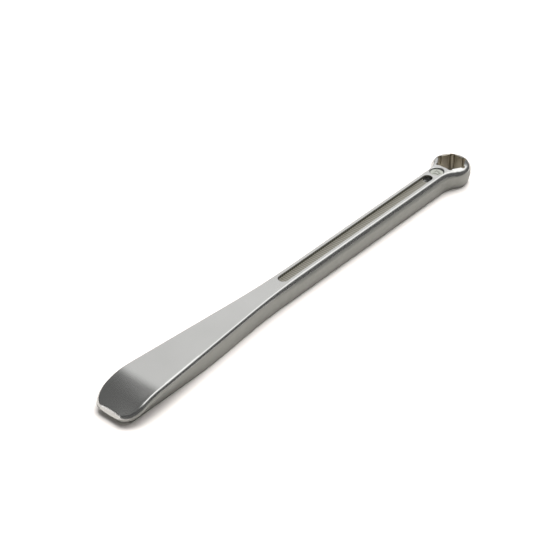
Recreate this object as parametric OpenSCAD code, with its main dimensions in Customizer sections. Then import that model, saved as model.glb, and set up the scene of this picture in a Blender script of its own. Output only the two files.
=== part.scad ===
// Tire lever: a one-piece forged spoon and bar with a two-size hexagon box end,
// and a small round disc set into the neck.
// The lever lies on its flat underside along X, spoon tip at -X and box end at +X.

/* [Bar] */
// Length from the tip of the spoon to the far side of the ring
overall_len = 252; // [225:1:300]
// Thickness of the bar and of the ring
bar_h = 10.9; // [9.5:0.1:13]
// Width of the bar
bar_w = 11.4; // [10.4:0.1:13]
// Width of the rounding along the bar's edges
edge_r = 2.3; // [1.5:0.1:2.8]
// Height of the rounding along the bar's edges
edge_h = 3.6; // [2:0.1:4.5]

/* [Blade] */
// Length of the widening blade, from the tip to the parallel bar
blade_len = 105; // [95:1:120]
// Width of the blade where its corners begin
blade_w = 24; // [20:0.2:30]
// Length over which the parallel bar eases into the flare
flare_blend = 22; // [10:1:35]
// Rounding of the blade's long edges
blade_edge_r = 1.2; // [0.5:0.1:1.6]
// Length over which the edge rounding grows from the blade's to the bar's
edge_blend = 36; // [20:1:50]

/* [Nose] */
// Length of the rounded corners, measured along the lever
corner_len = 15; // [12:0.5:20]
// Width of the straight end of the nose
tip_w = 15; // [10:0.2:18]
// Angle by which the nose dips
nose_angle = 22; // [15:0.5:23]
// Radius of the bend above the nose
nose_bend_r = 26; // [18:1:45]
// Length of the straight slope from the bend to the tip
nose_flat = 9; // [5:0.1:12]
// Height of the crown across the top of the nose, at the tip
nose_crown = 0.9; // [0.4:0.1:2]
// Rounding of the nose's end at its thin corners
tip_r = 0.6; // [0.3:0.1:0.8]
// Length of the rounding of the nose's thick end
end_r = 1.4; // [0.8:0.1:2.2]

/* [Underside of the blade] */
// Distance from the tip to where the underside leaves the table
rise_start = 63; // [52:1:72]
// Length over which the underside eases away from the table
rise_blend = 16; // [8:1:24]
// Angle at which the side edges of the underside rise toward the tip
rise_angle = 8; // [6:0.5:9]
// Thickness of the blade's side edges at the tip
side_t = 2.2; // [1.8:0.1:2.4]
// Depth of the rounded keel under the tip
keel = 2.4; // [1:0.1:2.5]
// Depth over which the rising underside is blended into the edge of the nose
nose_blend = 2; // [1:0.1:3]

/* [Box end] */
// Outer diameter of the ring
ring_d = 20.3; // [20:0.1:26]
// Angle at which the ring's top falls away outside the hexagon
ring_slope = 18; // [8:1:18]
// Rounding of the ring's upper outer edge
ring_edge_r = 1.5; // [1.4:0.1:2.4]
// Rounding of the ring's lower outer edge
ring_low_r = 1.2; // [0.6:0.1:2]
// Radius of the hollows that lead from the bar into the ring
neck_r = 16; // [10:1:24]
// Hexagon across its flats, from the top face to the step
hex_top = 13; // [11:0.5:13.5]
// Hexagon across its flats, from the step to the underside
hex_low = 14; // [11.5:0.5:14]
// Depth of the step below the top face
hex_step = 5.3; // [4:0.1:6.5]
// Chamfer around both mouths of the hexagon
hex_chamfer = 0.4; // [0.2:0.1:0.8]
// Radius of the reliefs along the hexagon's corners
relief_r = 1.3; // [0.8:0.1:1.4]
// Distance by which each relief's axis stands inside the hexagon's corner
relief_inset = 0.6; // [0.3:0.1:0.8]

/* [Channels] */
// Width of the round-ended channel in the top and in the underside
slot_w = 4.6; // [3:0.1:5.4]
// Length of the channel
slot_len = 115; // [90:1:125]
// Depth of the channel
slot_depth = 3; // [1.5:0.1:3.8]
// Distance from the ring's centre to the near end of the channel
slot_end = 17.8; // [17:0.1:25]

/* [Disc] */
// Diameter of the disc set into the neck
disc_d = 6.8; // [5:0.1:7.4]
// Thickness of the disc
disc_t = 1; // [0.6:0.1:1.6]
// Depth of the disc's face below the top of the neck
disc_sink = 0.7; // [0.2:0.1:1]
// Gap around the disc in its pocket
disc_gap = 0.05; // [0.03:0.01:0.1]
// Distance from the ring's centre to the disc's centre
disc_pos = 12.2; // [11.2:0.1:13]

/* [Hidden] */
$fn = 96;
// A cutter runs this far past the face that it opens
over = 1;
// The bar's end stays this far inside the ring, so that their walls cross
ring_seat = 0.15;
// The neck's shoulders end this many times as low as the ring's slope, so that their tops cross
shoulder_share = 1.08;
// The upper and the lower edge rounding of a thin section stay this far from meeting
edge_land = 0.2;
// Steps across half of the top, around an edge rounding, and along each stretch of the lever
across_steps = 6;
round_steps = 4;
nose_steps = 14;
blade_steps = 24;
neck_steps = 8;

tip_x = -overall_len / 2;
ring_x = overall_len / 2 - ring_d / 2;
disc_x = ring_x - disc_pos;

// Plan: the flare is a straight line that eases out of the bar
flare_slope = (blade_w - bar_w) / 2 / (blade_len - corner_len - flare_blend / 2);
corner_in = bar_w / 2 + flare_slope * (blade_len - flare_blend / 2) - tip_w / 2;

// Plan: each hollow of the neck is an arc that touches the bar's side and a circle just inside the ring
seat_r = ring_d / 2 - ring_seat;
hollow_reach = sqrt(pow(seat_r + neck_r, 2) - pow(bar_w / 2 + neck_r, 2));
neck_start = ring_x - tip_x - hollow_reach;
neck_reach = hollow_reach * seat_r / (seat_r + neck_r);
neck_end = ring_x - tip_x - neck_reach;

// Side view: the top is straight, then bends down on an arc into the nose's straight slope
bend_len = nose_bend_r * sin(nose_angle);
bend_start = nose_flat + bend_len;
bend_drop = nose_bend_r * (1 - cos(nose_angle));

// Side view: the ring's top falls away on a cone that starts at the hexagon's flats
function ring_fall(from_axis) = max(0, from_axis - hex_top / 2) * tan(ring_slope);

// A straight slope that eases out of zero over a blend length
function eased(d, slope, blend) =
    d <= 0 ? 0 : d < blend ? slope * d * d / (2 * blend) : slope * (d - blend / 2);
// The lesser of two heights, blended where they come close
function soft_min(a, b, blend) = min(a, b) - pow(max(0, blend - abs(a - b)), 2) / (4 * blend);

// Each function of s below takes the distance from the tip along the lever
function flare(s) = eased(blade_len - s, flare_slope, flare_blend);
function corner(s) =
    s >= corner_len ? 0 : corner_in * (1 - sqrt(1 - pow(1 - s / corner_len, 2)));
function hollow(s) =
    s <= neck_start ? 0 : neck_r - sqrt(neck_r * neck_r - pow(s - neck_start, 2));
function half_width(s) = bar_w / 2 + flare(s) - corner(s) + hollow(s);
function wall_slant(s) =
    s <= neck_start ? 1 : neck_r / sqrt(neck_r * neck_r - pow(s - neck_start, 2));

function nose_drop(s) =
    s >= bend_start ? 0
    : s > nose_flat ? nose_bend_r - sqrt(pow(nose_bend_r, 2) - pow(bend_start - s, 2))
    : bend_drop + (nose_flat - s) * tan(nose_angle);
function nose_share(s) = max(0, 1 - s / bend_start);
function crown(s) = nose_crown * pow(nose_share(s), 2) * end_share(s);
function side_top(s) = bar_h - nose_drop(s);
function side_bottom(s) =
    soft_min(eased(rise_start - s, tan(rise_angle), rise_blend), side_top(s) - side_t, nose_blend);
function keel_depth(s) = keel * pow(max(0, 1 - s / rise_start), 2) * end_share(s);

// The end of the nose is rounded by drawing its last sections in and by flattening their crown and keel
function end_inset(s) = s >= tip_r ? 0 : tip_r - sqrt(tip_r * tip_r - pow(tip_r - s, 2));
function end_share(s) = s >= end_r ? 1 : sqrt(1 - pow(1 - s / end_r, 2));
function grow(s) = min(1, max(0, (s - blade_len + edge_blend / 2) / edge_blend));
function edge_t(s) = side_top(s) - side_bottom(s) - 2 * end_inset(s);
function round_w(s) = blade_edge_r + (edge_r - blade_edge_r) * grow(s);
function round_h(s) =
    min(blade_edge_r + (edge_h - blade_edge_r) * grow(s), (edge_t(s) - edge_land) / 2);

// The neck's top falls away beside its middle, more and more toward the ring
function shoulder(s, y) =
    max(0, (s - neck_start) / (neck_end - neck_start)) * shoulder_share * ring_fall(norm([neck_reach, y]));

// Half of a cross-section, from the middle of the top down to the middle of the underside, as [y, z]
function half_section(s) =
    let (
        inset = end_inset(s),
        w = half_width(s) - inset,
        h = round_h(s),
        land = w - round_w(s) * wall_slant(s),
        top = side_top(s) - inset,
        bottom = side_bottom(s) + inset
    )
    concat(
        [for (i = [0:across_steps])
            let (f = i / across_steps, y = land * f)
                [y, top + crown(s) * (1 - f * f) - shoulder(s, y)]],
        [for (i = [1:round_steps])
            let (a = 90 * i / round_steps, y = land + (w - land) * sin(a))
                [y, top - h + h * cos(a) - shoulder(s, y)]],
        [for (i = [0:round_steps])
            let (a = 90 * i / round_steps) [land + (w - land) * cos(a), bottom + h - h * sin(a)]],
        [for (i = [across_steps - 1:-1:0])
            let (f = i / across_steps) [land * f, bottom - keel_depth(s) * (1 - f * f)]]
    );

// A whole cross-section, placed along the lever
function section(s) =
    let (half = half_section(s), last = len(half) - 1)
    concat(
        [for (p = half) [tip_x + s, p[0], p[1]]],
        [for (i = [last - 1:-1:1]) [tip_x + s, -half[i][0], half[i][1]]]
    );

stations = concat(
    [for (i = [0:nose_steps]) corner_len * (1 - cos(90 * i / nose_steps))],
    [for (i = [1:blade_steps]) corner_len + (blade_len + edge_blend / 2 - corner_len) * i / blade_steps],
    [for (i = [0:neck_steps]) neck_start + (neck_end - neck_start) * i / neck_steps]
);

// Skin over a row of sections that all have the same number of points, closed by a fan at each end
module loft(sections) {
    n = len(sections[0]);
    last = len(sections) - 1;
    first_middle = n * (last + 1);
    points = concat(
        [for (c = sections) each c],
        [for (c = [sections[0], sections[last]]) (c[0] + c[n / 2]) / 2]
    );
    sides = [for (k = [0:last - 1], i = [0:n - 1])
        let (j = (i + 1) % n, a = k * n, b = a + n)
        each [[a + i, a + j, b + j], [a + i, b + j, b + i]]];
    ends = [for (i = [0:n - 1])
        let (j = (i + 1) % n, b = last * n)
        each [[j, i, first_middle], [b + i, b + j, first_middle + 1]]];
    polyhedron(points = points, faces = concat(sides, ends));
}

module blade_and_bar() {
    loft([for (s = stations) section(s)]);
}

module ring() {
    wall = ring_d / 2;
    edge = wall - ring_edge_r;
    edge_z = bar_h - ring_fall(edge) - ring_edge_r / cos(ring_slope);
    translate([ring_x, 0, 0])
        rotate_extrude() {
            polygon([
                [0, 0],
                [wall - ring_low_r, 0],
                [wall, ring_low_r],
                [wall, edge_z],
                [edge + ring_edge_r * sin(ring_slope), edge_z + ring_edge_r * cos(ring_slope)],
                [hex_top / 2, bar_h],
                [0, bar_h]
            ]);
            translate([edge, edge_z])
                circle(ring_edge_r);
            translate([wall - ring_low_r, ring_low_r])
                circle(ring_low_r);
        }
}

// Distance between opposite corners of a hexagon
function corners(flats) = flats / cos(30);

// Hexagonal prism about the ring's axis, two flats square to the lever
module hexagon(flats, z0, z1) {
    translate([ring_x, 0, z0])
        rotate(30)
            cylinder(d = corners(flats), h = z1 - z0, $fn = 6);
}

// Chamfer of one mouth: widens the hexagon toward the face at z = 0 and past it
module mouth(flats) {
    h = hex_chamfer + over;
    rotate(30)
        translate([0, 0, -hex_chamfer])
            cylinder(d1 = corners(flats), d2 = corners(flats + 2 * h), h = h, $fn = 6);
}

module socket() {
    step_z = bar_h - hex_step;
    relief_ring = corners(hex_top) / 2 - relief_inset;
    hexagon(hex_top, step_z - over, bar_h + over);
    hexagon(hex_low, -over, step_z);
    translate([ring_x, 0, bar_h])
        mouth(hex_top);
    translate([ring_x, 0, 0])
        mirror([0, 0, 1])
            mouth(hex_low);
    for (i = [0:5])
        translate([ring_x, 0, -over])
            rotate(30 + 60 * i)
                translate([-relief_ring, 0, 0])
                    cylinder(r = relief_r, h = bar_h + 2 * over);
}

// Round-ended channel that opens upward from floor_z
module channel(floor_z, h) {
    x1 = ring_x - slot_end - slot_w / 2;
    x0 = x1 - slot_len + slot_w;
    for (x = [x0, x1])
        translate([x, 0, floor_z])
            cylinder(d = slot_w, h = h);
    translate([x0, -slot_w / 2, floor_z])
        cube([x1 - x0, slot_w, h]);
}

module lever_body() {
    color("silver")
        difference() {
            union() {
                blade_and_bar();
                ring();
            }
            socket();
            channel(bar_h - slot_depth, slot_depth + over);
            channel(-over, slot_depth + over);
            translate([disc_x, 0, bar_h - disc_sink - disc_t])
                cylinder(d = disc_d + 2 * disc_gap, h = disc_t + disc_sink + over);
        }
}

module neck_disc() {
    color("gainsboro")
        translate([disc_x, 0, bar_h - disc_sink - disc_t])
            cylinder(d = disc_d, h = disc_t);
}

lever_body();
neck_disc();
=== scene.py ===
"""A forged tire lever on a white table.

Its spoon blade, channelled bar and hexagonal box end are one forging, and a disc is set in its neck.
"""

import math

import bpy
import numpy as np
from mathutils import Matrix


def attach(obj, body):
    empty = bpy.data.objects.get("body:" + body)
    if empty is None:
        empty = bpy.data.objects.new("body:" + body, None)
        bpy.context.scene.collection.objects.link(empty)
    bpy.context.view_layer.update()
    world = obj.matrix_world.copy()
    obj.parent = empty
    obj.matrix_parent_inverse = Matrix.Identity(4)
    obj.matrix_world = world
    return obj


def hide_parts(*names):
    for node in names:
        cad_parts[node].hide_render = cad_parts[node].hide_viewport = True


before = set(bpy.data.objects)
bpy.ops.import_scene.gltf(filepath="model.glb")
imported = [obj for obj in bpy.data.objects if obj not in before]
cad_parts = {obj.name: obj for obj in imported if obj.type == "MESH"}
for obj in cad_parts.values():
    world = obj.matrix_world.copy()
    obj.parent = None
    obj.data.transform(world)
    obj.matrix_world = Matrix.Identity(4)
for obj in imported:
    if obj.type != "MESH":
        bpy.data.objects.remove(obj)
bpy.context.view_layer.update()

mm = 0.001  # a millimetre in the scene's metres

# Bar and blade, in millimetres as all sizes of the lever
overall_len = 252.0
bar_h = 10.9
bar_w = 12.0
blade_len = 105.0
blade_w = 24.2
flare_slope = 0.083  # slope of the blade's sides where they run out from the bar
flare_blend = 22.0  # length over which they leave the bar
flare_stop = 0.5  # softness of the bend where they reach the blade's full width

# Upper and lower edges; a bevel of 0 is round, and of 1 straight
edge_r = 2.05  # width of the bar's upper edge
edge_h = 3.5
bar_bevel = 0.4
blade_edge_r = 1.3
blade_edge_h = 1.8
edge_bevel = 0.45
edge_blend = 36.0  # length over which the bar's edge turns into the blade's
least_wall = 0.2  # height that the upper edge leaves free where the nose is thin
foot_r = 0.8
foot_h = 1.0

# Side walls, which the two halves of the die left with a parting line
draft = math.radians(1.0)  # slope above the parting line
wall_tuck = 0.8  # how far the foot of a wall stands inside its parting line
bar_parting = 0.5  # place of the parting line on the wall, as a share from its top
blade_parting = 0.1

# Nose of the blade
corner_len = 10.0
tip_w = 11.0  # width of the end between its corners
tip_r = 1.0  # width of the upper edge at the corners
nose_angle = math.radians(23.5)
nose_bend_r = 32.0
nose_flat = 8.0  # length of the straight dip in front of the bend
nose_crown = 0.7  # rise of the middle
crown_half = 9.5  # half width of that rise
end_w = 1.2  # bevel on the end, in its middle
end_h = 2.5
end_bevel = 0.05  # how much straighter it is than the blade's edge

# Belly under the blade: close to the table, and narrower than the blade above it
belly_half = 8.6
belly_rise = 0.4  # height of its front above the table
belly_len = 40.0  # length of that rise
belly_blend = 1.0  # softness of the change from the bar's wall
foot_back = 4.0  # how far its front stands behind the end of the nose

# Ring, neck and hexagon
ring_d = 20.3
ring_gap = 0.03  # how far the ring stays inside the solid's
ring_slope = math.radians(18)
ring_edge_r = 1.5
neck_r = 16.0
hex_top = 13.0  # across flats
hex_low = 14.0
hex_step = 5.3  # depth of the step between the two sizes
hex_chamfer = 0.4
hex_corners = 6
relief_r = 1.3
relief_inset = 0.6

# Channels in the top and the underside, and the hole where the mill went in
slot_w = 4.6
slot_len = 115.0
slot_end = 17.8  # distance of the neck end from the ring's middle
slot_depth = 1.4
under_depth = 3.0
slot_rim_w = 0.3
slot_rim_h = 0.45
slot_floor_r = 0.4
plunge_depth = 2.3
plunge_gap = 0.02  # how much smaller the hole's radius is, so that no two walls coincide

# Disc in the neck
disc_d = 6.8
disc_t = 1.0
disc_sink = 0.7  # depth of its face below the neck's
disc_gap = 0.05
disc_pos = 12.2  # distance of its middle from the ring's
disc_bevel = 0.15
pocket_rim_r = 0.5

# Digits on the disc, measured from its middle
digit_h = 0.2  # how far they stand out
digit_root = 0.3  # how deep they start inside the disc
digit_half = 1.65  # half the height of the one
stem_left = -1.3
stem_right = -0.7
flag_top = -1.2  # the one's flag leaves the top of the stem here
flag_tip = (-1.95, 1.1)
flag_heel = (-1.7, 0.7)
flag_root = 0.95  # height at which its lower side meets the stem
bowl_w = 0.55  # width of the three's stroke
bowl_x = 0.75
low_bowl_y = -0.73
low_bowl_r = 0.66
high_bowl_y = 0.68
high_bowl_r = 0.68
bowl_waist = 95  # degrees at which a bowl ends in the three's waist
bowl_hook = 160  # and in its hook

# How far the cutters reach past the faces that they open
clear = 1.0
slot_rim_past = 0.4  # share of the channel's bevel
pocket_rim_stop = 18  # angle at which the pocket's round rim gives way to a straight run
pocket_rim_past = (1.5, 0.22)  # end of that run, outward and up, in radii of the rim

# Division of the meshes: lengths of steps in millimetres, and numbers of points
nose_step = 0.7
nose_run = 46.0  # the steps of the nose reach this far
blade_step = 1.5
corner_count = 49
bar_count = 24
hollow_count = 31
ring_count = 84
half_count = 16  # columns on each side of the middle
upper_count = 13
lower_count = 9
far_turn = math.radians(10)  # half the arc that closes the ring's far side
slot_count = 33
floor_count = 7
relief_count = 40
disc_count = 72
pocket_rim_count = 5
bowl_count = 19
sharp_angle = 28  # degrees past which an edge shows as sharp

# How many strips of the upper edge are tumbled bright; the strips below them take the darker skin, whose
# tone is partly painted shade
bright_blade = 9
bright_bar = 7
bright_ring = 10

# Places that follow from the sizes
tip_x = -overall_len / 2
ring_x = overall_len / 2 - ring_d / 2
ring_r = ring_d / 2 - ring_gap
slot_x = ring_x - slot_end - slot_w / 2
disc_x = ring_x - disc_pos
disc_floor = bar_h - disc_sink - disc_t
disc_top = disc_floor + disc_t
corner_in = (blade_w - tip_w) / 2
hollow_reach = math.sqrt((ring_r + neck_r) ** 2 - (bar_w / 2 + neck_r) ** 2)
hollow_turn = math.asin(hollow_reach / (ring_r + neck_r))
neck_reach = hollow_reach * ring_r / (ring_r + neck_r)
neck_start = ring_x - tip_x - hollow_reach
bend_start = nose_flat + nose_bend_r * math.sin(nose_angle)
bend_drop = nose_bend_r * (1 - math.cos(nose_angle))
across = np.linspace(-1, 1, 2 * half_count + 1)

# Shape of the forging, where run is the distance from the end of the nose


def eased(d, slope, blend):
    """A straight slope that eases out of zero over a blend length."""
    d = np.maximum(d, 0)
    return np.where(d < blend, slope * d * d / (2 * blend), slope * (d - blend / 2))


def soft_max(a, b, blend):
    """The greater of two lengths, blended where they come close."""
    return np.maximum(a, b) + np.maximum(0, blend - np.abs(a - b)) ** 2 / (4 * blend)


def smooth(share):
    """A share from 0 to 1 that starts and stops gently."""
    share = np.clip(share, 0, 1)
    return share * share * (3 - 2 * share)


def bar_share(run):
    """0 on the blade, 1 on the bar."""
    return smooth((run - blade_len) / edge_blend + 0.5)


def ring_share(run):
    """0 on the bar, 1 on the ring."""
    return smooth((run - neck_start) / hollow_reach)


def corner_share(run):
    """1 at the end of the nose, 0 behind its corners."""
    return np.clip(1 - run / corner_len, 0, 1)


def side_top(run):
    """Height of the top along the sides, with the dip of the nose."""
    on_arc = np.clip(bend_start - run, 0, bend_start - nose_flat)
    bend = nose_bend_r - np.sqrt(nose_bend_r**2 - on_arc**2)
    return bar_h - np.where(run > nose_flat, bend, bend_drop + (nose_flat - run) * math.tan(nose_angle))


def underside(run):
    """Height of the underside, which rises a little under the nose."""
    return belly_rise * np.clip(1 - run / belly_len, 0, 1) ** 2


def top_height(x, y):
    """Height of the top at a place: crowned on the nose, and falling away on a cone round the hexagon."""
    run = np.maximum(x - tip_x, 0)
    crown = nose_crown * np.clip(1 - run / bend_start, 0, 1) ** 2 * np.clip(1 - (y / crown_half) ** 2, 0, 1)
    # The shoulders of the neck lead into the cone
    reach = np.maximum(x - ring_x, -neck_reach)
    share = smooth((x - ring_x + hollow_reach) / (hollow_reach - neck_reach))
    fall = np.maximum(np.hypot(reach, y) - hex_top / 2, 0) * math.tan(ring_slope) * share
    return side_top(run) + crown - fall


def bottom_height(x, y):
    """Height of the underside at a place: the same right across."""
    return underside(x - tip_x)


def edge_size(run):
    """Width and height of the upper edge: low on the blade, tall on the bar, even on the ring."""
    bar = bar_share(run)
    ring = ring_share(run)
    wide = blade_edge_r + (edge_r - blade_edge_r) * bar - (blade_edge_r - tip_r) * corner_share(run) ** 2
    high = blade_edge_h + (edge_h - blade_edge_h) * bar
    most = (side_top(run) - underside(run) - least_wall) / 2
    return wide + (ring_edge_r - edge_r) * ring, np.minimum(high + (ring_edge_r - edge_h) * ring, most)


def arc(x, y, r, turn, outward=1):
    """Points of an arc: x, y and the normal out of the metal or cutter; outward is -1 on a hollow."""
    way = np.stack([np.cos(turn), np.sin(turn)], axis=1)
    return np.hstack([way * r + [x, y], way * outward])


def circle(x, y, r, count):
    return arc(x, y, r, np.linspace(0, 2 * math.pi, count, endpoint=False))


def plan():
    """One side of the lever from the end of the nose to the ring's far side: x, y and outward normal."""
    quarter = np.linspace(0, math.pi / 2, corner_count)
    bar_run = blade_len + edge_blend / 2
    run = np.concatenate(
        [
            corner_len * (1 - np.cos(quarter)),
            np.arange(corner_len + nose_step, nose_run, nose_step),
            np.arange(nose_run, bar_run, blade_step),
            np.linspace(bar_run, neck_start, bar_count),
        ]
    )
    flare = bar_w / 2 + eased(blade_len - run, flare_slope, flare_blend)
    half = -soft_max(-flare, -blade_w / 2, flare_stop)
    # The corners of the nose are quarter ellipses
    front = corner_share(run)
    back = np.sqrt(1 - front * front)
    y = half - corner_in * (1 - back)
    normal = np.stack([-(np.gradient(half, run) * back + corner_in / corner_len * front), back], axis=1)
    normal /= np.linalg.norm(normal, axis=1)[:, None]
    straight = np.column_stack([tip_x + run, y, normal])

    turn = np.linspace(0, hollow_turn, hollow_count)[1:] - math.pi / 2
    hollow = arc(tip_x + neck_start, bar_w / 2 + neck_r, neck_r, turn, -1)
    turn = np.linspace(math.pi / 2 + hollow_turn, far_turn, ring_count)[1:]
    return np.concatenate([straight, hollow, arc(ring_x, 0, ring_r, turn)])


def outline(side):
    """The whole plan as a loop: along the end of the nose, up the +Y side, round the ring and back."""
    ones = np.ones(across.shape)
    end = np.stack([tip_x * ones, across * side[0, 1], -ones, 0 * ones], axis=1)
    far = arc(ring_x, 0, ring_r, across * far_turn)
    mirror = side * [1, -1, 1, -1]
    return np.concatenate([end, side[1:-1], far[::-1], mirror[-2:0:-1]])


def upper_edge(loop):
    """Loops of points down the upper edge, from the top to the wall."""
    run = loop[:, 0] - tip_x
    wide, high = edge_size(run)
    power = 1 + edge_bevel + (bar_bevel - edge_bevel) * (bar_share(run) - ring_share(run))
    # The end of the nose is bevelled, most of all in its middle
    end = slice(len(across))
    swell = 1 - across * across
    power[end] += end_bevel * swell
    wide[end] += (end_w - wide[0]) * swell
    high[end] += (end_h - high[0]) * swell

    lean = math.tan(draft) * side_top(run) / 2
    levels = []
    for turn in np.radians(np.linspace(0, 90, upper_count)):
        inset = wide * (1 - math.sin(turn) ** power) + lean
        x = loop[:, 0] - loop[:, 2] * inset
        y = loop[:, 1] - loop[:, 3] * inset
        z = top_height(x, y) - high * (1 - max(math.cos(turn), 0) ** power)
        levels.append(np.stack([x, y, z], axis=1))
    return levels


def wall_foot(side, loop):
    """Where the foot of the wall stands, drawn in under the blade and back from the corners of the nose."""
    run = loop[:, 0] - tip_x
    half = np.interp(run, side[:, 0] - tip_x, side[:, 1])
    over_belly = np.where(run < blade_len, half - belly_half, 0)
    x = loop[:, 0] + foot_back * corner_share(run) ** 2
    y = loop[:, 1] * (1 - soft_max(wall_tuck, over_belly, belly_blend) / half)
    # On the neck and the ring it is drawn in along the normal instead
    head = run > neck_start
    x[head] = loop[head, 0] - loop[head, 2] * wall_tuck
    y[head] = loop[head, 1] - loop[head, 3] * wall_tuck
    return x, y


def lower_edge(side, loop):
    """Loops of points round the lower edge, from the wall to the underside."""
    foot_x, foot_y = wall_foot(side, loop)
    levels = []
    for turn in np.radians(np.linspace(90, 0, lower_count)):
        inset = foot_r * (1 - math.sin(turn))
        x = foot_x - loop[:, 2] * inset
        y = foot_y - loop[:, 3] * inset
        z = underside(x - tip_x) + foot_h * (1 - math.cos(turn))
        levels.append(np.stack([x, y, z], axis=1))
    return levels


def parting_line(loop, above, below):
    """The widest loop, halfway down the bar's wall and close under the blade's edge."""
    down = blade_parting + (bar_parting - blade_parting) * bar_share(loop[:, 0] - tip_x)
    return np.column_stack([loop[:, :2], above[:, 2] * (1 - down) + below[:, 2] * down])


def face(level, rows, height):
    """Points of the top or the underside, in rows across the lever inside its rim."""
    columns = len(across)
    first = level[:columns]
    side = level[columns : columns + rows - 2]
    last = level[columns + rows - 2 : 2 * columns + rows - 2][::-1]
    edge = np.concatenate([first[-1:], side, last[-1:]])
    grid = np.repeat(edge[:, None, :], columns, axis=1)
    grid[:, :, 1] *= across
    grid[0] = first
    grid[-1] = last
    grid[1:-1, :, 2] = height(grid[1:-1, :, 0], grid[1:-1, :, 1])
    return grid.reshape(-1, 3)


def rim(ids):
    """Point numbers round the rim of a grid, in the outline's order."""
    return np.concatenate([ids[0], ids[1:-1, -1], ids[-1][::-1], ids[-2:0:-1, 0]])


def grid_quads(ids):
    return np.stack([ids[:-1, :-1], ids[1:, :-1], ids[1:, 1:], ids[:-1, 1:]], axis=-1).reshape(-1, 4)


def tumbled_strips(loop):
    """How many strips of the upper edge are bright along the outline, the rest taking the darker skin that
    partly paints shade: all of them on the nose's end.
    """
    run = loop[:, 0] - tip_x
    on_bar = (bright_bar - bright_blade) * bar_share(run)
    on_ring = (bright_ring - bright_bar) * ring_share(run)
    strips = np.round(bright_blade + on_bar + on_ring)
    strips[: len(across) - 1] = upper_count - 1
    return strips


def forging():
    """Skin of the lever without its cut features: points, quads, and each quad's material by number."""
    side = plan()
    loop = outline(side)
    upper = upper_edge(loop)
    lower = lower_edge(side, loop)
    between = [*upper[1:], parting_line(loop, upper[-1], lower[0]), *lower[:-1]]
    rows = len(side)
    points = [face(upper[0], rows, top_height), face(lower[-1], rows, bottom_height), *between]

    top = np.arange(rows * len(across)).reshape(rows, -1)
    bottom = top + top.size
    wall = 2 * top.size + np.arange(len(between) * len(loop)).reshape(-1, len(loop))
    rings = [rim(top), *wall, rim(bottom)]
    strips = [
        np.stack([above, np.roll(above, -1), np.roll(below, -1), below], axis=-1)
        for above, below in zip(rings[:-1], rings[1:])
    ]
    quads = [grid_quads(top), grid_quads(bottom)[:, [0, 3, 2, 1]], *strips]

    # The top and its edge are tumbled bright, and the walls and the underside keep the forging's skin,
    # whose darker tone is partly painted shade on them
    bright = tumbled_strips(loop)
    which = [np.zeros(len(quads[0]), int), np.ones(len(quads[1]), int)]
    which += [(k >= bright).astype(int) for k in range(len(strips))]
    return np.concatenate(points), np.concatenate(quads), np.concatenate(which)


# Meshes


def piece(name, points, faces, materials, which=None):
    """A mesh object from points in millimetres; which gives each face's material by number."""
    mesh = bpy.data.meshes.new(name)
    mesh.from_pydata((np.asarray(points) * mm).tolist(), [], [list(map(int, ids)) for ids in faces])
    for material in materials:
        mesh.materials.append(material)
    if which is not None:
        mesh.polygons.foreach_set("material_index", which)
    mesh.validate()
    obj = bpy.data.objects.new(name, mesh)
    bpy.context.scene.collection.objects.link(obj)
    return obj


def swept(name, loop, profile, material):
    """A closed solid: the loop, offset along its normals, at each height of the profile."""
    count = len(loop)
    points = [np.column_stack([loop[:, :2] + loop[:, 2:] * d, np.full(count, z)]) for d, z in profile]
    faces = []
    for k in range(len(profile) - 1):
        for i in range(count):
            j = (i + 1) % count
            faces.append([k * count + i, k * count + j, (k + 1) * count + j, (k + 1) * count + i])
    faces.append(range(count - 1, -1, -1))
    faces.append(range((len(profile) - 1) * count, len(profile) * count))
    return piece(name, np.concatenate(points), faces, [material])


def combine(obj, tools, operation):
    """Cuts the tools out of an object or joins them to it, and removes them."""
    for tool in tools:
        step = obj.modifiers.new(tool.name, "BOOLEAN")
        step.operation = operation
        step.solver = "EXACT"
        step.material_mode = "TRANSFER"
        step.object = tool
    done = bpy.data.meshes.new_from_object(obj.evaluated_get(bpy.context.evaluated_depsgraph_get()))
    obj.modifiers.clear()
    obj.data = done
    for tool in tools:
        bpy.data.objects.remove(tool)


def shade(obj):
    """Smooth shading that breaks at sharp edges, with flat faces kept flat."""
    obj.data.shade_smooth()
    obj.data.set_sharp_from_angle(angle=math.radians(sharp_angle))
    even = obj.modifiers.new("even_normals", "WEIGHTED_NORMAL")
    even.keep_sharp = True
    even.weight = 60


# Materials


def linear(code):
    """sRGB hex to linear."""
    c = [int(code[i : i + 2], 16) / 255 for i in (1, 3, 5)]
    return [x / 12.92 if x <= 0.04045 else ((x + 0.055) / 1.055) ** 2.4 for x in c] + [1]


def node(tree, kind, settings=None, **links):
    """Adds a node, sets its properties, and links or fills its inputs by name, or by number after a _."""
    n = tree.nodes.new(kind)
    for key, value in (settings or {}).items():
        setattr(n, key, value)
    for key, value in links.items():
        socket = n.inputs[int(key[1:])] if key[0] == "_" else n.inputs[key.replace("_", " ")]
        if isinstance(value, bpy.types.NodeSocket):
            tree.links.new(value, socket)
        else:
            socket.default_value = value
    return n


def new_material(name):
    """A material without nodes, and its tree."""
    material = bpy.data.materials.new(name)
    material.use_nodes = True
    material.node_tree.nodes.clear()
    return material, material.node_tree


def bare_metal(tree, tone_by, dark, light, relief, strength, depth, roughness):
    """Ends a metal's nodes: a tone between two colours, and a relief of a depth in millimetres."""
    colours = {"A": linear(dark), "B": linear(light)}
    tone = node(tree, "ShaderNodeMix", {"data_type": "RGBA"}, Factor=tone_by, **colours)
    bump = node(tree, "ShaderNodeBump", Height=relief, Strength=strength, Distance=depth * mm)
    surface = node(
        tree,
        "ShaderNodeBsdfPrincipled",
        Base_Color=tone.outputs["Result"],
        Roughness=roughness,
        Normal=bump.outputs["Normal"],
        Metallic=1.0,
    )
    node(tree, "ShaderNodeOutputMaterial", Surface=surface.outputs["BSDF"])


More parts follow.
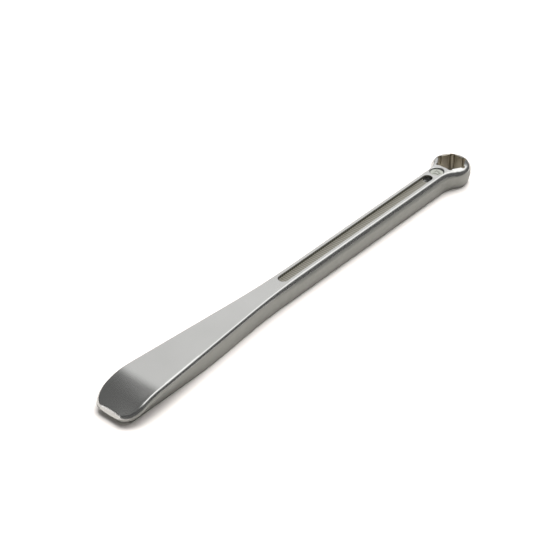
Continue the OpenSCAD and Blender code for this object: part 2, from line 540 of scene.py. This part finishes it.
def tumbled_forged_aluminium():
    """Forged, then tumbled with stones: an even satin grey with a fine grain and soft reflections."""
    material, tree = new_material("tumbled_forged_aluminium")
    at = node(tree, "ShaderNodeTexCoord").outputs["Object"]
    # The stones leave dents of about 0.1 mm, drawn at 0.5 mm so that they show
    dents = node(tree, "ShaderNodeTexNoise", Vector=at, Scale=1 / (0.5 * mm), Detail=3.0, Roughness=0.6)
    cloud = node(tree, "ShaderNodeTexNoise", Vector=at, Scale=1 / (14 * mm), Detail=2.0, Roughness=0.5)
    sheen = node(tree, "ShaderNodeMapRange", Value=dents.outputs["Fac"], To_Min=0.18, To_Max=0.26)
    bare_metal(
        tree,
        tone_by=cloud.outputs["Fac"],
        dark="#aeaeac",
        light="#b5b5b3",
        relief=dents.outputs["Fac"],
        strength=0.1,
        depth=0.04,
        roughness=sheen.outputs["Result"],
    )
    return material


def milled_aluminium():
    """Cut by an end mill: fine ridges across the channel, one for each step of the feed."""
    material, tree = new_material("milled_aluminium")
    at = node(tree, "ShaderNodeTexCoord").outputs["Object"]
    # The ridges are about 0.1 mm apart, drawn at 1.4 mm so that they show
    wave_len = math.pi / 10  # of the wave texture at scale 1
    ridges = node(
        tree,
        "ShaderNodeTexWave",
        {"bands_direction": "X", "wave_profile": "SIN"},
        Vector=at,
        Scale=wave_len / (1.4 * mm),
        Distortion=1.2,
        Detail=1.0,
        Detail_Scale=1.0,
    )
    bare_metal(
        tree,
        tone_by=ridges.outputs["Fac"],
        dark="#75736a",
        light="#96938a",
        relief=ridges.outputs["Fac"],
        strength=0.35,
        depth=0.04,
        roughness=0.45,
    )
    return material


def blasted_skin_and_painted_shade():
    """Forging skin cleaned by blasting: dull grey, with broad soft reflections and faint mottling. Its dark
    grey is partly the skin's own and partly painted shade on the walls, lower edges and underside.
    """
    material, tree = new_material("blasted_skin_and_painted_shade")
    at = node(tree, "ShaderNodeTexCoord").outputs["Object"]
    mottle = node(tree, "ShaderNodeTexNoise", Vector=at, Scale=1 / (3 * mm), Detail=3.0, Roughness=0.6)
    # The grit leaves pits of about 0.2 mm, drawn at 0.5 mm so that they show
    pits = node(tree, "ShaderNodeTexNoise", Vector=at, Scale=1 / (0.5 * mm), Detail=2.0, Roughness=0.5)
    bare_metal(
        tree,
        tone_by=mottle.outputs["Fac"],
        # These greys are partly painted shade: darker than the skin alone, for the shade on the walls and
        # underside
        dark="#81827e",
        light="#8e8f8b",
        relief=pits.outputs["Fac"],
        strength=0.3,
        depth=0.05,
        roughness=0.5,
    )
    return material


def broached_aluminium():
    """Pulled through by a broach: dull and a little warm, with fine scores that run down the hole."""
    material, tree = new_material("broached_aluminium")
    at = node(tree, "ShaderNodeTexCoord").outputs["Object"]
    drawn_out = (1, 1, 0.06)  # stretches the pattern down the hole
    along = node(tree, "ShaderNodeVectorMath", {"operation": "MULTIPLY"}, _0=at, _1=drawn_out)
    # The scores are about 0.1 mm apart, drawn at 0.6 mm so that they show
    scores = node(
        tree,
        "ShaderNodeTexNoise",
        Vector=along.outputs["Vector"],
        Scale=1 / (0.6 * mm),
        Detail=2.0,
        Roughness=0.5,
    )
    bare_metal(
        tree,
        tone_by=scores.outputs["Fac"],
        dark="#9f998a",
        light="#b0aa9b",
        relief=scores.outputs["Fac"],
        strength=0.3,
        depth=0.04,
        roughness=0.38,
    )
    return material


def bead_blasted_aluminium():
    """Turned, then blasted with beads: pale and even, without a clear reflection."""
    material, tree = new_material("bead_blasted_aluminium")
    at = node(tree, "ShaderNodeTexCoord").outputs["Object"]
    # The beads leave pits of about 0.1 mm, drawn at 0.3 mm so that they show
    pits = node(tree, "ShaderNodeTexNoise", Vector=at, Scale=1 / (0.3 * mm), Detail=2.0, Roughness=0.5)
    bare_metal(
        tree,
        tone_by=pits.outputs["Fac"],
        dark="#a8aaa2",
        light="#b4b6ae",
        relief=pits.outputs["Fac"],
        strength=0.3,
        depth=0.04,
        roughness=0.36,
    )
    return material


def matt_white_paint():
    """Rolled on the table: spreads the light evenly and shows no gloss."""
    material, tree = new_material("matt_white_paint")
    surface = node(tree, "ShaderNodeBsdfDiffuse", Color=linear("#f6f1ed"))
    node(tree, "ShaderNodeOutputMaterial", Surface=surface.outputs["BSDF"])
    return material


forged = tumbled_forged_aluminium()
# The skin's dark tone partly paints the shade on the walls, lower edges and underside
skin_and_painted_shade = blasted_skin_and_painted_shade()
milled = milled_aluminium()
broached = broached_aluminium()
blasted = bead_blasted_aluminium()

# Lever: the forging and the tools that cut it


def channel(name, face_z, up, depth):
    """A round-ended channel with a round floor corner and a bevelled rim; up is 1 in the top, -1 below."""
    end = arc(0, 0, slot_w / 2, np.radians(np.linspace(-90, 90, slot_count)))
    loop = np.concatenate([end, -end])
    loop[:, 0] += np.repeat([slot_x, slot_x - slot_len + slot_w], slot_count)
    floor_corner = [
        (-slot_floor_r * (1 - math.cos(turn)), -depth + slot_floor_r * (1 - math.sin(turn)))
        for turn in np.radians(np.linspace(90, 0, floor_count))
    ]
    bevel = [(0, -slot_rim_h), (slot_rim_w * (1 + slot_rim_past), slot_rim_h * slot_rim_past)]
    profile = [(d, face_z + up * z) for d, z in floor_corner + bevel]
    return swept(name, loop, profile[::up], milled)


def plunge_hole():
    """The hole at the neck end of the top channel, where the mill went in."""
    loop = circle(slot_x, 0, slot_w / 2 - plunge_gap, 2 * slot_count)
    return swept("plunge_hole", loop, [(0, bar_h - plunge_depth), (0, bar_h - slot_depth / 2)], forged)


def hexagon():
    """The hexagon in two sizes with chamfered mouths, and the round reliefs in its corners."""
    slant = 1 / math.cos(math.pi / hex_corners)  # how much further out a corner is than a flat
    turns = (np.arange(hex_corners) + 0.5) * 2 * math.pi / hex_corners
    corner = np.stack([np.cos(turns), np.sin(turns)], axis=1) * slant
    step = (hex_low - hex_top) / 2
    mouth = hex_chamfer + clear
    profile = [
        (step + mouth, -clear),
        (step, hex_chamfer),
        (step, bar_h - hex_step),
        (0, bar_h - hex_step),
        (0, bar_h - hex_chamfer),
        (mouth, bar_h + clear),
    ]
    tools = [swept("socket", np.hstack([corner * hex_top / 2 + [ring_x, 0], corner]), profile, broached)]
    reach = hex_top / 2 * slant - relief_inset
    for i, turn in enumerate(turns):
        loop = circle(ring_x + reach * math.cos(turn), reach * math.sin(turn), relief_r, relief_count)
        tools.append(swept(f"relief_{i}", loop, [(0, -clear), (0, bar_h + clear)], broached))
    return tools


def disc_pocket():
    """The pocket for the disc, with a broken rim."""
    loop = circle(disc_x, 0, disc_d / 2 + disc_gap, disc_count)
    profile = [(0, disc_floor)]
    for turn in np.radians(np.linspace(90, pocket_rim_stop, pocket_rim_count)):
        profile.append((pocket_rim_r * (1 - math.sin(turn)), bar_h - pocket_rim_r * (1 - math.cos(turn))))
    past_out, past_up = pocket_rim_past
    profile.append((pocket_rim_r * past_out, bar_h + pocket_rim_r * past_up))
    return swept("disc_pocket", loop, profile, forged)


points, quads, which = forging()
body = piece("forged_lever", points, quads, [forged, skin_and_painted_shade], which)
cutters = [
    channel("top_channel", bar_h, 1, slot_depth),
    channel("under_channel", 0, -1, under_depth),
    plunge_hole(),
    *hexagon(),
    disc_pocket(),
]
combine(body, cutters, "DIFFERENCE")
shade(body)
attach(body, "root")
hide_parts("lever_body")

# Disc, with the size of the hexagon, 13, raised on it to be read along the bar


def stroke(name, shape):
    """One raised stroke of a digit, from its outline about the disc's middle."""
    loop = np.hstack([np.asarray(shape) + [disc_x, 0], np.zeros((len(shape), 2))])
    return swept(name, loop, [(0, disc_top - digit_root), (0, disc_top + digit_h)], blasted)


def bowl(y, r, start, end):
    """Outline of one bowl of the three, an open ring between two angles."""
    turn = np.radians(np.linspace(start, end, bowl_count))
    outer = arc(bowl_x, y, r + bowl_w / 2, turn)
    inner = arc(bowl_x, y, r - bowl_w / 2, turn)
    return np.concatenate([outer, inner[::-1]])[:, :2]


one = [
    (stem_left, -digit_half),
    (stem_right, -digit_half),
    (stem_right, digit_half),
    (flag_top, digit_half),
    flag_tip,
    flag_heel,
    (stem_left, flag_root),
]
digits = [
    stroke("one", one),
    stroke("three_low", bowl(low_bowl_y, low_bowl_r, -bowl_hook, bowl_waist)),
    stroke("three_high", bowl(high_bowl_y, high_bowl_r, -bowl_waist, bowl_hook)),
]
disc_profile = [(0, disc_floor), (0, disc_top - disc_bevel), (-disc_bevel, disc_top)]
disc = swept("neck_disc_turned", circle(disc_x, 0, disc_d / 2, disc_count), disc_profile, blasted)
combine(disc, digits, "UNION")
shade(disc)
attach(disc, "root")
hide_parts("neck_disc")

# Table

table_half = 3000.0
table_corners = [(x * table_half, y * table_half, 0) for x, y in ((-1, -1), (1, -1), (1, 1), (-1, 1))]
floor = piece("table", table_corners, [(0, 1, 2, 3)], [matt_white_paint()])

# Light: a dim room with soft lamps, which the metal reflects, and a key light that it doesn't

room_glow = 0.16
# Each lamp's compass angle and height, the angles where it is full and where it ends, and its power
lamps = {
    "large soft box above and to the right": (-22, 66, 26, 42, 2.1),
    "pale wall on the left": (110, 52, 22, 42, 0.06),
    "pale sweep behind the lever": (46, 3, 18, 36, 0.47),
    "panel above the sweep": (38, 33, 9, 24, 1.0),
    "low lamp on the left of the tip": (153, 0, 3, 8, 5.0),
    "strip on the left": (138, 44, 3, 8, 1.2),
    "strip on the right": (-84, 49, 4, 10, 0.9),
}
key_power = 2.4
key_spread = math.radians(45)
key_height = math.radians(66)
key_turn = math.radians(25)


def lamp_glow(tree, way, around, above, full, end, power):
    """A soft disc of light in the sky, by its angles in degrees and its power."""
    around = math.radians(around)
    above = math.radians(above)
    middle = (math.cos(above) * math.cos(around), math.cos(above) * math.sin(around), math.sin(above))
    near = node(tree, "ShaderNodeVectorMath", {"operation": "DOT_PRODUCT"}, _0=way, _1=middle)
    fade = node(
        tree,
        "ShaderNodeMapRange",
        {"interpolation_type": "SMOOTHSTEP"},
        Value=near.outputs["Value"],
        From_Min=math.cos(math.radians(end)),
        From_Max=math.cos(math.radians(full)),
        To_Max=power,
    )
    return fade.outputs["Result"]


scene = bpy.context.scene
scene.view_settings.view_transform = "Standard"
scene.world = bpy.data.worlds.new("studio")
scene.world.use_nodes = True
studio = scene.world.node_tree
studio.nodes.clear()
way = node(studio, "ShaderNodeTexCoord").outputs["Generated"]
glow = room_glow
for lamp in lamps.values():
    glow = node(studio, "ShaderNodeMath", _0=glow, _1=lamp_glow(studio, way, *lamp)).outputs["Value"]
sky = node(studio, "ShaderNodeBackground", Color=(1, 1, 1, 1), Strength=glow)
node(studio, "ShaderNodeOutputWorld", Surface=sky.outputs["Background"])

key = bpy.data.objects.new("key_light", bpy.data.lights.new("key_light", "SUN"))
scene.collection.objects.link(key)
key.data.energy = key_power
key.data.angle = key_spread
key.rotation_euler = (0, math.pi / 2 - key_height, key_turn)
key.visible_glossy = False

# Camera, in metres and pixels of the photograph

camera_place = (-0.4602, -0.3774, 0.4424)
camera_dip = math.radians(36.40)
camera_turn = math.radians(-49.43)
focal_px = 1600
photo_px = 553
sensor = 36.0

camera = bpy.data.objects.new("camera", bpy.data.cameras.new("camera"))
scene.collection.objects.link(camera)
camera.location = camera_place
camera.rotation_euler = (math.pi / 2 - camera_dip, 0, camera_turn)
camera.data.sensor_width = sensor
camera.data.lens = focal_px / photo_px * sensor
scene.camera = camera

bpy.context.view_layer.update()
